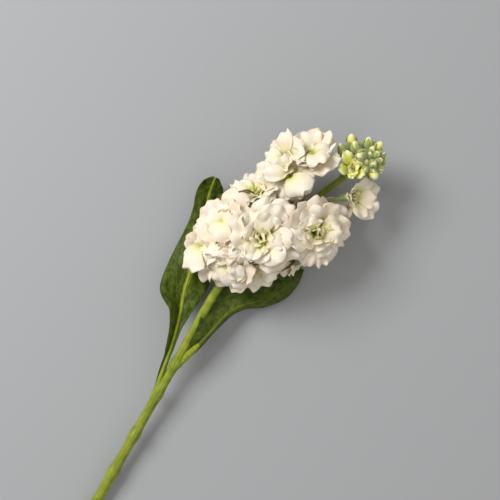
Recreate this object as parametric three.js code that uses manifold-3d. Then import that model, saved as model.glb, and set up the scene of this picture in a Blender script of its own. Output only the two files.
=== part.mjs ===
// A cut stem of double white stock (Matthiola incana), lying on a table.
// Sizes are millimetres. The plant is laid out with X from the cut end towards the tip,
// Y to the left seen from above and Z up from the table. The group is then shifted so that
// its origin is under the middle of the whole stem, on the table.

import * as THREE from "three";
import { mergeVertices } from "three/addons/utils/BufferGeometryUtils.js";
import Module from "manifold-3d";

const wasm = await Module();
wasm.setup();

// ---- Driving dimensions -------------------------------------------------------------

const GAP = 0.35; // clearance between pieces that touch
const SLIVERS = [0.08, 0.05, 0.12, 0.03, 0.2]; // faces thinner than this are merged away after cutting
const WELD = 2e-4; // corners closer than this are one corner
const STEM_RADIUS_CUT = 2.8;
const STEM_RADIUS_TIP = 1.5;
const NODE_SWELL = 0.55; // how far the stem swells where a leaf grew
const NODE_LENGTH = 3.5;
const PEDICEL_RADIUS = 0.9;
const BUD_PEDICEL_RADIUS = 0.7;
const CALYX_RADIUS = 2.5;
const CALYX_LENGTH = 9;
const PETAL_THICKNESS = 1.3; // a whorl's overlapping petals together
const PETALS_IN_WHORL = 4;
const WHORL_SIDES = 6 * PETALS_IN_WHORL; // facets around a whorl
const RUFFLE = 0.06; // waves of a whorl's rim, as a share of its spread
const LEAF_THICKNESS = 0.9;
const MIDRIB_THICKNESS = 1.5; // added on the midrib

// Points on the stem's axis, from the cut end to the tip.
const STEM_AXIS = [
  [0, 0, 2.8],
  [38, 6, 3.7],
  [71, 11.7, 5],
  [109, 18.5, 7.5],
  [134, 23, 9.8],
  [154, 26.5, 11.6],
  [173, 30.3, 13.6],
  [193, 33.8, 15],
  [208, 34.6, 16],
  [227, 32, 17],
  [251, 27.5, 18.5],
  [267, 24.2, 20],
  [280, 20.8, 22],
  [292, 18, 25],
];

// Where leaves grew or were stripped off, as shares of the stem's length.
const STEM_NODES = [0.09, 0.21, 0.3, 0.375, 0.455, 0.52];

// Each station is a midrib point, the blade's width to its left and right,
// and how steeply each half rises, in degrees.
const LEFT_LEAF = [
  [133.5, 24.2, 10.4, 1.2, 1.2, 0, 0],
  [144, 28.4, 11.6, 1.9, 1.7, 20, 20],
  [155, 32.4, 12.6, 3.6, 2, 44, 30],
  [165, 36.6, 13.4, 5.6, 2.8, 46, 28],
  [174, 41, 13.8, 8.2, 5.6, 42, 14],
  [182, 45.6, 12.8, 13, 9.5, 16, -4],
  [191, 49.6, 11, 12.5, 12, 5, -20],
  [203, 55.5, 9, 10, 12, -4, -22],
  [212, 60, 7.6, 7.5, 11, 0, -14],
  [221, 64, 7.2, 7, 9, 10, -4],
  [228.5, 68.4, 8.4, 6.8, 7.8, 18, -8],
  [233.5, 70, 10.2, 5.2, 6.4, 14, -24],
  [237, 71, 11.6, 1.6, 2.4, 0, -30],
];

const RIGHT_LEAF = [
  [153.5, 24.6, 11.4, 1.5, 1.5, 0, 0],
  [161, 23.8, 12.8, 2.2, 2, 20, -20],
  [168, 23, 13.6, 6, 3.4, 24, -50],
  [174.5, 22.6, 13.2, 8, 4.6, 22, -60],
  [181.5, 22.3, 12.2, 10.8, 6, 10, -62],
  [189.5, 21.6, 10.8, 13.5, 7.5, 6, -62],
  [197.3, 18.2, 9.6, 14.5, 7, 2, -58],
  [205, 13, 8, 14, 6.5, 0, -38],
  [214, 10.5, 6.6, 12, 7.5, 2, -22],
  [222.5, 9.4, 6, 8.5, 6, 4, -12],
  [230, 8.8, 6.4, 2.5, 2.5, 8, 4],
];

// Florets: where the throat is, the way the flower faces, the spread of its petals,
// and how far along the stem its pedicel leaves.
const FLORETS = [
  { name: "floret_01", throat: [228, 33.5, 36], facing: [0.07, 0, 1], spread: 17, from: 0.715 },
  { name: "floret_02", throat: [247.8, 15.8, 32], facing: [0.05, -0.36, 0.93], spread: 16.7, from: 0.79 },
  { name: "floret_03", throat: [221.5, 50.5, 30], facing: [-0.25, 0.42, 0.87], spread: 15, from: 0.7 },
  { name: "floret_04", throat: [207.5, 52.5, 21.5], facing: [-0.4, 0.5, 0.77], spread: 14.5, from: 0.66 },
  { name: "floret_05", throat: [209.5, 38, 27], facing: [-0.66, 0, 0.75], spread: 14.5, from: 0.65 },
  { name: "floret_06", throat: [215, 27, 28.5], facing: [-0.34, -0.46, 0.82], spread: 14, from: 0.67 },
  { name: "floret_07", throat: [260.5, 42, 31], facing: [-0.05, 0.2, 0.98], spread: 13, from: 0.8 },
  { name: "floret_08", throat: [265.5, 47.5, 27.5], facing: [0.02, 0.7, 0.71], spread: 13, from: 0.83 },
  { name: "floret_09", throat: [274.5, 39.5, 29], facing: [0.5, 0.55, 0.66], spread: 13.5, from: 0.85 },
  { name: "floret_10", throat: [243.5, 49.5, 25], facing: [0.3, 0.76, 0.57], spread: 14, from: 0.76 },
  { name: "floret_11", throat: [272.8, 11.8, 25.5], facing: [0.45, -0.52, 0.73], spread: 12.5, from: 0.87 },
  { name: "floret_12", throat: [232, 13, 17], facing: [-0.16, -0.98, 0.1], spread: 12.8, from: 0.74 },
  { name: "floret_13", throat: [214, 46.5, 10.5], facing: [-0.4, 0.7, -0.56], spread: 13, from: 0.68 },
  { name: "floret_14", throat: [258, 13, 11], facing: [0, -0.78, -0.62], spread: 14, from: 0.82 },
  { name: "floret_15", throat: [249, 43, 10.5], facing: [0.2, 0.66, -0.7], spread: 14, from: 0.78 },
];

// Closed and opening buds around the tip: middle, the way each points, length and width,
// and how far along the stem its pedicel leaves.
const BUDS = [
  { name: "opening_bud", at: [282.5, 21, 29], facing: [0.04, 0.1, 0.99], length: 11, width: 8.5, from: 0.92 },
  { name: "bud_01", at: [293, 29.5, 26], facing: [0.63, 0.64, 0.45], length: 9.5, width: 5.6, from: 0.945 },
  { name: "bud_02", at: [287, 29.5, 24], facing: [0.34, 0.88, 0.32], length: 10.5, width: 5.2, from: 0.925 },
  { name: "bud_03", at: [290.5, 22, 33], facing: [-0.36, 0.24, 0.9], length: 8.5, width: 5.6, from: 0.96 },
  { name: "bud_04", at: [292, 26, 30], facing: [0.28, 0.75, 0.6], length: 8.5, width: 5.4, from: 0.95 },
  { name: "bud_05", at: [297, 23, 28], facing: [0.78, 0.41, 0.48], length: 8.5, width: 5.2, from: 0.985 },
  { name: "bud_06", at: [298.5, 18.5, 27], facing: [0.94, -0.08, 0.33], length: 9, width: 5.4, from: 0.975 },
  { name: "bud_07", at: [288, 12, 28], facing: [-0.28, -0.63, 0.72], length: 9, width: 6, from: 0.97 },
  { name: "bud_08", at: [289, 18.5, 15], facing: [0.6, 0, -0.8], length: 8.5, width: 5, from: 0.955 },
];
const APEX = { name: "apex_buds", at: [293, 17, 27], radius: 7.2 };

// ---- Solids -------------------------------------------------------------------------

/** A manifold-3d solid from a closed three.js geometry. */
function solidOf(geometry) {
  const bare = geometry.clone();
  bare.deleteAttribute("normal");
  bare.deleteAttribute("uv");
  const merged = mergeVertices(bare, 1e-4);
  const triangles = new Uint32Array(merged.index.array);
  const made = (triVerts) =>
    new wasm.Manifold(
      new wasm.Mesh({ numProp: 3, vertProperties: merged.attributes.position.array, triVerts }),
    );
  const solid = made(triangles);
  return solid.volume() > 0 ? solid : made(triangles.reverse());
}

/** The three.js geometry of a solid. */
function geometryOf(solid) {
  const mesh = solid.getMesh();
  const geometry = new THREE.BufferGeometry();
  geometry.setAttribute("position", new THREE.BufferAttribute(mesh.vertProperties, 3));
  geometry.setIndex(new THREE.BufferAttribute(mesh.triVerts, 1));
  geometry.computeVertexNormals();
  return geometry;
}

/** Moves every vertex of a geometry to where move(x, y, z) says. */
function reshape(geometry, move) {
  const at = geometry.attributes.position;
  for (let i = 0; i < at.count; i++) {
    const to = move(at.getX(i), at.getY(i), at.getZ(i));
    at.setXYZ(i, to.x, to.y, to.z);
  }
  return geometry;
}

/** A closed turned shape, with its profile's ends on the axis. */
function turned(profile, sides) {
  const points = profile.map(([r, y]) => new THREE.Vector2(r, y));
  return new THREE.LatheGeometry(points, sides);
}

/** A round rod along a curve, of radius radiusAt(share of its length), grown all around. */
function rod(curve, radiusAt, steps, sides, grow) {
  const profile = [[0, 0]];
  for (let i = 0; i <= steps; i++) profile.push([radiusAt(i / steps) + grow, i / steps]);
  profile.push([0, 1]);
  const { tangents, normals, binormals } = curve.computeFrenetFrames(steps, false);
  const beyond = { 0: -grow, [steps]: grow };
  return reshape(turned(profile, sides), (x, y, z) => {
    const k = Math.round(y * steps);
    return curve
      .getPointAt(k / steps)
      .addScaledVector(tangents[k], beyond[k] ?? 0)
      .addScaledVector(normals[k], x)
      .addScaledVector(binormals[k], -z);
  });
}

const vector = (point) => new THREE.Vector3(...point);
const radians = THREE.MathUtils.degToRad;

// ---- Pieces -------------------------------------------------------------------------

const stemCurve = new THREE.CatmullRomCurve3(STEM_AXIS.map(vector), false, "centripetal");

/** The main stem, tapered, with a swelling at each node. */
function stem(grow = 0) {
  const radiusAt = (t) => {
    const taper = THREE.MathUtils.lerp(STEM_RADIUS_CUT, STEM_RADIUS_TIP, t ** 1.6);
    const along = (node) => ((t - node) * stemCurve.getLength()) / NODE_LENGTH;
    const swell = STEM_NODES.reduce((sum, node) => sum + Math.exp(-(along(node) ** 2)), 0);
    return taper + NODE_SWELL * swell;
  };
  return solidOf(rod(stemCurve, radiusAt, 56, 8, grow));
}

/** A leaf blade with a thicker midrib, bent to its stations. */
function leaf(stations, grow = 0) {
  const midrib = new THREE.CatmullRomCurve3(stations.map((s) => vector(s.slice(0, 3))));
  const along = 2 * (stations.length - 1);
  const sheet = new THREE.BoxGeometry(2, 1, 1, 6, 1, along);
  return solidOf(
    reshape(sheet, (across, upper, length) => {
      const t = length + 0.5;
      const k = Math.min(Math.floor(t * (stations.length - 1)), stations.length - 2);
      const part = t * (stations.length - 1) - k;
      const value = (column) =>
        THREE.MathUtils.lerp(stations[k][column], stations[k + 1][column], part);
      const tangent = midrib.getTangent(t);
      const side = new THREE.Vector3(-tangent.y, tangent.x, 0).normalize();
      const isLeft = across > 0;
      const width = Math.abs(across) * (value(isLeft ? 3 : 4) + grow);
      const rise = radians(value(isLeft ? 5 : 6));
      const rib = MIDRIB_THICKNESS * Math.max(0, 1 - 3 * Math.abs(across));
      const thick = LEAF_THICKNESS + rib + 2 * grow;
      return midrib
        .getPoint(t)
        .addScaledVector(side, Math.sign(across) * width * Math.cos(rise))
        .add(new THREE.Vector3(0, 0, width * Math.sin(rise) + upper * thick));
    }),
  );
}

/** The height of a whorl's middle surface over the throat, at a share of its spread. */
const whorlHeight = (share, spread) => 0.26 * spread * (2.3 * share - 1.9 * share ** 2);

/** Notches a turned shape between its petals, waves its rim, and lays its axis along Z. */
function lobed(geometry, spread, depth) {
  return reshape(geometry, (x, y, z) => {
    const outer = (Math.hypot(x, z) / spread) ** 2;
    const angle = Math.atan2(z, x);
    const petal = Math.sqrt(Math.abs(Math.cos((PETALS_IN_WHORL * angle) / 2)));
    const k = 1 - depth * (1 - petal) * outer;
    const wave = RUFFLE * spread * Math.cos(2 * PETALS_IN_WHORL * angle) * outer;
    return new THREE.Vector3(x * k, -z * k, y + wave);
  });
}

/** The outer petals as one thick lobed dish, in the floret's frame. */
function outerPetals(spread, grow = 0) {
  const shares = [0.4, 0.75];
  const half = PETAL_THICKNESS / 2 + grow;
  const edge = spread + grow;
  const under = shares.map((q) => [q * edge, whorlHeight(q, spread) - half]);
  const over = shares.map((q) => [q * edge, whorlHeight(q, spread) + half]).reverse();
  const rim = whorlHeight(1, spread);
  const profile = [[0, -half], ...under, [edge, rim - half], [edge, rim + half], ...over, [0, half]];
  return solidOf(lobed(turned(profile, WHORL_SIDES), edge, 0.3));
}

/** The inner petals as one lobed rosette that sits on the outer ones, hollow at the throat. */
function innerPetals(spread, grow = 0) {
  const reach = 0.66 * spread + grow;
  const floor = (q) => whorlHeight(0.66 * q, spread) + PETAL_THICKNESS / 2 + GAP - grow;
  const top = floor(1) + 2 * grow;
  const profile = [
    [0, floor(0)],
    [0.5 * reach, floor(0.5)],
    [reach, floor(1)],
    [reach, top + 0.1 * spread],
    [0.72 * reach, top + 0.27 * spread],
    [0.4 * reach, top + 0.33 * spread],
    [0, top + 0.2 * spread],
  ];
  return solidOf(lobed(turned(profile, WHORL_SIDES), reach, 0.22).rotateZ(Math.PI / PETALS_IN_WHORL));
}

/** A rod that leaves the stem, bends, and ends at tip facing its own way. */
function stalked({ from, facing }, tip, headLength, radiusAt, steps, sides, grow) {
  const outward = vector(facing).normalize();
  const bend = tip.clone().addScaledVector(outward, -1.25 * headLength);
  const curve = new THREE.QuadraticBezierCurve3(stemCurve.getPointAt(from), bend, tip);
  const headShare = headLength / curve.getLength();
  const up = (t) => (t - 1 + headShare) / headShare; // 0 at the head's base, 1 at its tip
  return solidOf(rod(curve, (t) => radiusAt(Math.max(0, up(t))), steps, sides, grow));
}

/** A floret's pedicel and calyx, from the stem to under its petals. */
function calyx(floret, grow = 0) {
  const facing = vector(floret.facing).normalize();
  const top = vector(floret.throat).addScaledVector(facing, -(PETAL_THICKNESS / 2 + GAP));
  const radiusAt = (up) => {
    const belly = up > 0 ? CALYX_RADIUS * (0.72 + 0.28 * Math.sin(Math.PI * up)) : 0;
    return Math.max(PEDICEL_RADIUS, belly);
  };
  return stalked(floret, top, CALYX_LENGTH, radiusAt, 8, 6, grow);
}

/** A bud and its pedicel. */
function bud(each, grow = 0) {
  const facing = vector(each.facing).normalize();
  const tip = vector(each.at).addScaledVector(facing, each.length / 2);
  const radiusAt = (up) => {
    const swell = (each.width / 2) * Math.sin(Math.PI * (0.04 + 0.88 * up)) ** 0.6;
    return Math.max(BUD_PEDICEL_RADIUS, up > 0 ? swell : 0);
  };
  return stalked(each, tip, each.length, radiusAt, 13, 7, grow);
}

/** The knot of smallest buds at the tip, in its own frame. */
function apexBuds({ radius }, grow = 0) {
  const knob = new THREE.SphereGeometry(radius + grow, 10, 6);
  return solidOf(
    reshape(knob, (x, y, z) => {
      const bump = 1 + 0.1 * Math.cos(5 * Math.atan2(y, x)) * (1 - (z / radius) ** 2);
      return new THREE.Vector3(x * bump, y * bump, z);
    }),
  );
}

// ---- Assembly -----------------------------------------------------------------------

const COLOURS = {
  stem: ["#7f9a3c", 0.55],
  leaf: ["#3f5f1c", 0.45],
  petal: ["#f6efdc", 0.7],
  heart: ["#f0e8b8", 0.7],
  calyx: ["#93a765", 0.7],
  bud: ["#a9bb5a", 0.6],
};

const plant = new THREE.Group();
const keepClear = []; // the pieces so far, each grown by the clearance

/** Whether every edge has two faces once corners that are in one place are joined. */
function isSealed(solid) {
  const bare = geometryOf(solid);
  bare.deleteAttribute("normal");
  const corners = mergeVertices(bare, WELD).index.array;
  const faces = new Map();
  for (let i = 0; i < corners.length; i++) {
    const next = i % 3 === 2 ? i - 2 : i + 1;
    const edge = [corners[i], corners[next]].sort((a, b) => a - b).join();
    faces.set(edge, (faces.get(edge) ?? 0) + 1);
  }
  return [...faces.values()].every((count) => count === 2);
}

/** The biggest piece of a solid once its neighbours and the table are cut away. */
function fitted(solid) {
  const free = keepClear.reduce((rest, other) => rest.subtract(other), solid);
  const cut = free.trimByPlane([0, 0, 1], 0).asOriginal();
  const biggest = (pieces) => pieces.reduce((a, b) => (b.volume() > a.volume() ? b : a));
  const choices = SLIVERS.map((sliver) => biggest(cut.simplify(sliver).decompose()));
  return choices.find(isSealed) ?? choices[0];
}

/** Adds one named piece, made by make(grow) in its holder's frame and placed by the holder. */
function add(name, colour, holder, make) {
  holder.updateMatrixWorld(true);
  const toPlant = holder.matrixWorld.elements;
  const toHolder = holder.matrixWorld.clone().invert().elements;
  const solid = fitted(make(0).transform(toPlant)).transform(toHolder);
  keepClear.push(make(GAP).transform(toPlant));
  const [shade, roughness] = COLOURS[colour];
  const material = new THREE.MeshStandardMaterial({ color: shade, roughness, metalness: 0 });
  const mesh = new THREE.Mesh(geometryOf(solid), material);
  mesh.name = name;
  holder.add(mesh);
}

/** A group at a point of the plant whose +Z faces a given way. */
function heldAt(point, facing) {
  const holder = new THREE.Group();
  holder.position.copy(vector(point));
  holder.quaternion.setFromUnitVectors(new THREE.Vector3(0, 0, 1), vector(facing).normalize());
  plant.add(holder);
  return holder;
}

add("stem", "stem", plant, stem);
add("leaf_left", "leaf", plant, (grow) => leaf(LEFT_LEAF, grow));
add("leaf_right", "leaf", plant, (grow) => leaf(RIGHT_LEAF, grow));
for (const floret of FLORETS) {
  add(`${floret.name}_calyx`, "calyx", plant, (grow) => calyx(floret, grow));
}
for (const each of BUDS) {
  add(each.name, "bud", plant, (grow) => bud(each, grow));
}
add(APEX.name, "bud", heldAt(APEX.at, [0, 0, 1]), (grow) => apexBuds(APEX, grow));
for (const floret of FLORETS) {
  const head = heldAt(floret.throat, floret.facing);
  add(`${floret.name}_inner_petals`, "heart", head, (grow) => innerPetals(floret.spread, grow));
}
for (const floret of FLORETS) {
  const head = heldAt(floret.throat, floret.facing);
  add(`${floret.name}_outer_petals`, "petal", head, (grow) => outerPetals(floret.spread, grow));
}

const box = new THREE.Box3().setFromObject(plant, true);
const middle = box.getCenter(new THREE.Vector3());
plant.position.set(-middle.x, -middle.y, -box.min.z);

export default plant;
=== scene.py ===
"""A cut stem of double white stock lying on a table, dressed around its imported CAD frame."""

import logging
import math
from dataclasses import dataclass, field
from enum import Enum

import bpy
import numpy as np
from mathutils import Matrix, Vector


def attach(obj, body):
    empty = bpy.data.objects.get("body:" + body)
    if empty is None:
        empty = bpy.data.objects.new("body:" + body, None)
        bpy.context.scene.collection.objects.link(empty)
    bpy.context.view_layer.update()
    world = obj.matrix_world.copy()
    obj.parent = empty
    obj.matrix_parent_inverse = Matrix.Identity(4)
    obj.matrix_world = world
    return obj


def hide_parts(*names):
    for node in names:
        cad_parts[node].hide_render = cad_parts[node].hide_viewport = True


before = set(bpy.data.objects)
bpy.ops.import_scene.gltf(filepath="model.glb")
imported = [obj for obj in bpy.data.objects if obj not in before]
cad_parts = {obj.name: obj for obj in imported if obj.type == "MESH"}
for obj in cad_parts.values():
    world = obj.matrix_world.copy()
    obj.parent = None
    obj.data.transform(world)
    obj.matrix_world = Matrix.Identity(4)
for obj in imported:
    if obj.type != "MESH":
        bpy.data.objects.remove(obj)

log = logging.getLogger("stock_flower")

MM = 0.001
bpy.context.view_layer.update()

Colour = tuple[float, float, float, float]
Point = tuple[float, float, float]


def paint(red: int, green: int, blue: int) -> Colour:
    """The linear colour of a paint chip whose channels run from 0 to 255."""
    linear = [((c / 255 + 0.055) / 1.055) ** 2.4 if c > 10 else c / 3294 for c in (red, green, blue)]
    return (*linear, 1.0)


def ease(low: float, high: float, value: np.ndarray) -> np.ndarray:
    """A smooth step from 0 at low to 1 at high."""
    share = np.clip((value - low) / (high - low), 0.0, 1.0)
    return share * share * (3.0 - 2.0 * share)


def unit(vector: np.ndarray) -> np.ndarray:
    """The vector, or each vector of an array, at length 1."""
    return vector / np.maximum(np.linalg.norm(vector, axis=-1, keepdims=True), 1e-12)


# ---- Where things are ---------------------------------------------------------------


class Plant:
    """The plant's own coordinates: millimetres from the cut end's middle, on the table.

    X runs from the cut end towards the tip, Y to the left seen from above, and Z up.
    """

    CUT_HEIGHT = 2.8  # the stem's axis above the table at the cut
    CUT_DEPTH = 3.0  # corners this near the lowest X belong to the cut face
    TABLE_LIFT = 1.8  # what would come below this height is pressed flat towards the table

    def __init__(self) -> None:
        """Finds the cut end in the frame's stem."""
        corners = {tuple(np.round(v.co, 6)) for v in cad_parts["stem"].data.vertices}
        start = min(corner[0] for corner in corners)
        cut = [corner for corner in corners if corner[0] < start + self.CUT_DEPTH * MM]
        self.origin = np.mean(cut, axis=0) - np.array([0, 0, self.CUT_HEIGHT * MM])

    def to_row(self, points: np.ndarray) -> np.ndarray:
        """Row-frame metres of plant points, with nothing left below the table.

        Args:
            points: places in the plant's own millimetres.

        Returns:
            The same places in the row frame, in metres.
        """
        placed = np.array(points, float)
        lift = self.TABLE_LIFT
        low = placed[..., 2] < lift
        placed[..., 2] = np.where(low, lift * np.exp(placed[..., 2] / lift - 1.0), placed[..., 2])
        return placed * MM + self.origin


STEM_AXIS = np.array(
    [
        (0, 0, 2.8),
        (38, 6, 3.7),
        (71, 11.7, 5),
        (109, 18.5, 7.5),
        (134, 23, 9.8),
        (154, 26.5, 11.6),
        (173, 30.3, 13.6),
        (193, 33.8, 15),
        (208, 34.6, 16),
        (227, 32, 17),
        (251, 27.5, 18.5),
        (267, 24.2, 20),
        (280, 20.8, 22),
        (292, 18, 25),
    ]
)


def smooth_path(points: np.ndarray, steps: int) -> np.ndarray:
    """A smooth curve through points.

    Args:
        points: the points it passes through, one per row.
        steps: how many samples to take in each stretch between two points.

    Returns:
        The samples, with the first and last points among them.
    """
    ends = [2 * points[0] - points[1], *points, 2 * points[-1] - points[-2]]
    samples = []
    for before, start, end, after in zip(ends, ends[1:], ends[2:], ends[3:]):
        stretches = ((before, start), (start, end), (end, after))
        first, middle, last = (np.linalg.norm(b - a) ** 0.5 for a, b in stretches)
        leave = (start - before) / first - (end - before) / (first + middle) + (end - start) / middle
        arrive = (end - start) / middle - (after - start) / (middle + last) + (after - end) / last
        leave, arrive = leave * middle, arrive * middle
        for share in np.arange(steps) / steps:
            square, cube = share**2, share**3
            samples.append(
                (2 * cube - 3 * square + 1) * start
                + (cube - 2 * square + share) * leave
                + (3 * square - 2 * cube) * end
                + (cube - square) * arrive
            )
    samples.append(points[-1])
    return np.array(samples)


def evenly(path: np.ndarray, shares: np.ndarray) -> np.ndarray:
    """Points at the given shares of a path's length.

    Args:
        path: the path, one point per row.
        shares: how far along it each wanted point is, from 0 to 1.

    Returns:
        The points, one per row.
    """
    steps = np.linalg.norm(np.diff(path, axis=0), axis=1)
    travelled = np.concatenate([[0], np.cumsum(steps)])
    at = np.asarray(shares) * travelled[-1]
    return np.stack([np.interp(at, travelled, path[:, k]) for k in range(3)], axis=-1)


STEM_PATH = smooth_path(STEM_AXIS, 12)


def stalk_path(leaves_at: float, facing: np.ndarray, tip: np.ndarray, head: float) -> np.ndarray:
    """The axis of a stalk that leaves the stem and ends facing its own way.

    Args:
        leaves_at: the share of the stem's length where it leaves.
        facing: the unit vector that its head points along.
        tip: where it ends.
        head: the head's length.

    Returns:
        Forty points of the curve.
    """
    start = evenly(STEM_PATH, np.array([leaves_at]))[0]
    bend = tip - 1.25 * head * facing
    t = np.linspace(0, 1, 40)[:, None]
    return (1 - t) ** 2 * start + 2 * t * (1 - t) * bend + t**2 * tip


# ---- Meshes -------------------------------------------------------------------------


class Trait(Enum):
    """What a mesh tells its material at each vertex."""

    ALONG = "along"  # 0 at the base, 1 at the tip
    ACROSS = "across"  # -1 and 1 at the edges
    # On a petal the tone also sets how strong its painted shade patches are.
    TONE = "tone"  # one random value for each petal or leaf
    GREEN = "green"  # 1 for a sepal, less for a young petal, 0 for an old one
    UNDER = "under"  # 1 on the underside


@dataclass
class Sheet:
    """A grid of points with the traits of each."""

    points: np.ndarray
    along: np.ndarray
    across: np.ndarray
    tone: float = 0.5
    green: float = 0.0


class Clay:
    """Gathers closed shells and tubes into one mesh."""

    def __init__(self) -> None:
        """Starts with nothing."""
        self.points: list[np.ndarray] = []
        self.faces: list[tuple[int, ...]] = []
        self.traits: dict[Trait, list[np.ndarray]] = {trait: [] for trait in Trait}
        self.count = 0

    def _keep(self, points: np.ndarray, faces: np.ndarray, traits: dict[Trait, np.ndarray]) -> None:
        """Adds points, the faces that index them, and their traits.

        Args:
            points: the new points, one per row.
            faces: for each face, the rows of its points.
            traits: the value of each trait at each point.
        """
        self.faces.extend(map(tuple, (faces + self.count).tolist()))
        self.points.append(points)
        for trait in Trait:
            self.traits[trait].append(traits[trait])
        self.count += len(points)

    def shell(self, sheet: Sheet, thickness: float) -> None:
        """Adds a sheet as a closed shell.

        Args:
            sheet: the middle surface, whose first axis runs along and second across.
            thickness: the shell's thickness in the middle; its rim is thinner.
        """
        grid = sheet.points
        rows, columns = grid.shape[:2]
        normal = unit(np.cross(np.gradient(grid, axis=0), np.gradient(grid, axis=1)))
        rim = np.minimum(1 - np.abs(sheet.across), 1 - sheet.along)
        half = (thickness / 2 * (0.45 + 0.55 * ease(0.0, 0.18, rim)))[..., None]
        layers = np.concatenate([grid + normal * half, grid - normal * half]).reshape(-1, 3)
        index = np.arange(rows * columns).reshape(rows, columns)
        over = np.stack([index[:-1, :-1], index[1:, :-1], index[1:, 1:], index[:-1, 1:]], -1)
        under = over[..., ::-1] + rows * columns
        border = np.concatenate([index[:, 0], index[-1, 1:], index[-2::-1, -1], index[0, -2:0:-1]])
        ahead = np.roll(border, -1)
        drop = rows * columns
        side = np.stack([border, border + drop, ahead + drop, ahead], -1)
        faces = np.concatenate([over.reshape(-1, 4), under.reshape(-1, 4), side])
        flat = np.zeros(rows * columns)
        self._keep(
            layers,
            faces,
            {
                Trait.ALONG: np.tile(sheet.along.ravel(), 2),
                Trait.ACROSS: np.tile(sheet.across.ravel(), 2),
                Trait.TONE: np.full(len(layers), sheet.tone),
                Trait.GREEN: np.full(len(layers), sheet.green),
                Trait.UNDER: np.concatenate([flat, flat + 1]),
            },
        )

    def tube(
        self,
        path: np.ndarray,
        radius: np.ndarray,
        sides: int = 12,
        ribs: np.ndarray | None = None,
        tone: float = 0.5,
        green: float = 1.0,
        marked: float = 1.0,
    ) -> None:
        """Adds a tube with closed ends.

        Args:
            path: the axis, one point per ring.
            radius: each ring's radius.
            sides: points around a ring.
            ribs: a factor on the radius for each ring and side.
            tone: the piece's random tone.
            green: 1 for green parts, 0 for petal.
            marked: 1 if it has veins around it, 0 if it is all one vein.
        """
        rings = len(path)
        tangent = unit(np.gradient(path, axis=0))
        steep = np.abs(tangent[:, 2]).max() > 0.9
        upright = [1.0, 0.0, 0.0] if steep else [0.0, 0.0, 1.0]
        side = unit(np.cross(tangent, upright))
        up = np.cross(side, tangent)
        angle = np.arange(sides) * 2 * math.pi / sides
        spread = np.outer(radius, np.ones(sides)) * (1 if ribs is None else ribs)
        ring = side[:, None] * np.cos(angle)[None, :, None] + up[:, None] * np.sin(angle)[None, :, None]
        grid = path[:, None] + ring * spread[..., None]
        index = np.arange(rings * sides).reshape(rings, sides)
        ahead = np.roll(index, -1, axis=1)
        wall = np.stack([index[:-1], index[1:], ahead[1:], ahead[:-1]], -1).reshape(-1, 4)
        ends = np.array([rings * sides, rings * sides + 1])
        points = np.concatenate([grid.reshape(-1, 3), path[:1], path[-1:]])
        along = np.concatenate([np.repeat(np.linspace(0, 1, rings), sides), [0, 1]])
        across = np.concatenate([np.tile(np.abs(angle / math.pi - 1) * 2 - 1, rings), [0, 0]]) * marked
        self._keep(
            points,
            wall,
            {
                Trait.ALONG: along,
                Trait.ACROSS: across,
                Trait.TONE: np.full(len(points), tone),
                Trait.GREEN: np.full(len(points), green),
                Trait.UNDER: np.zeros(len(points)),
            },
        )
        start = self.count - len(points)
        for k in range(sides):
            after = (k + 1) % sides
            self.faces.append((start + ends[0], start + index[0, k], start + index[0, after]))
            self.faces.append((start + ends[1], start + index[-1, after], start + index[-1, k]))

    def fire(self, name: str, plant: Plant, material: bpy.types.Material) -> bpy.types.Object:
        """Makes the Blender object.

        Args:
            name: the piece's name.
            plant: turns plant millimetres into row metres.
            material: the piece's material.

        Returns:
            The new object, smooth shaded, with a float attribute for each trait.
        """
        mesh = bpy.data.meshes.new(name)
        mesh.from_pydata(plant.to_row(np.concatenate(self.points)).tolist(), [], self.faces)
        for trait in Trait:
            layer = mesh.attributes.new(trait.value, "FLOAT", "POINT")
            layer.data.foreach_set("value", np.concatenate(self.traits[trait]).astype(np.float32))
        mesh.polygons.foreach_set("use_smooth", np.ones(len(mesh.polygons), bool))
        mesh.materials.append(material)
        piece = bpy.data.objects.new(name, mesh)
        bpy.context.scene.collection.objects.link(piece)
        return piece


def place(piece: bpy.types.Object, slot: str, *nodes: str) -> None:
    """Puts a piece on the plant in place of its CAD nodes.

    Args:
        piece: the new piece.
        slot: not used.
        nodes: the CAD nodes that it stands for.
    """
    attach(piece, "root")
    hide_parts(*nodes)
    log.info("%s stands for %s, %d faces", piece.name, ", ".join(nodes), len(piece.data.polygons))


# ---- Finishes -----------------------------------------------------------------------


class Nodes:
    """Adds nodes to a node tree."""

    def __init__(self, tree: bpy.types.NodeTree) -> None:
        """Works on that tree."""
        self.tree = tree

    def node(self, kind: str, **settings: object) -> bpy.types.Node:
        """Adds a node.

        Args:
            kind: its Blender type.
            settings: its properties and their values.

        Returns:
            The new node.
        """
        made = self.tree.nodes.new(kind)
        for key, value in settings.items():
            setattr(made, key, value)
        return made

    def join(self, source: bpy.types.NodeSocket, target: bpy.types.NodeSocket) -> None:
        """Links one socket to another."""
        self.tree.links.new(source, target)

    def feed(self, target: bpy.types.NodeSocket, value: float | Colour | bpy.types.NodeSocket) -> None:
        """Gives an input its value.

        Args:
            target: the input.
            value: what it is set to, or the socket it is linked to.
        """
        if isinstance(value, bpy.types.NodeSocket):
            self.join(value, target)
        else:
            target.default_value = value

    def math(self, operation: str, *values: float | bpy.types.NodeSocket) -> bpy.types.NodeSocket:
        """Adds a Math node.

        Args:
            operation: what it does.
            values: a value or a socket for each input.

        Returns:
            Its result.
        """
        made = self.node("ShaderNodeMath", operation=operation)
        for target, value in zip(made.inputs, values):
            self.feed(target, value)
        return made.outputs[0]


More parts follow.
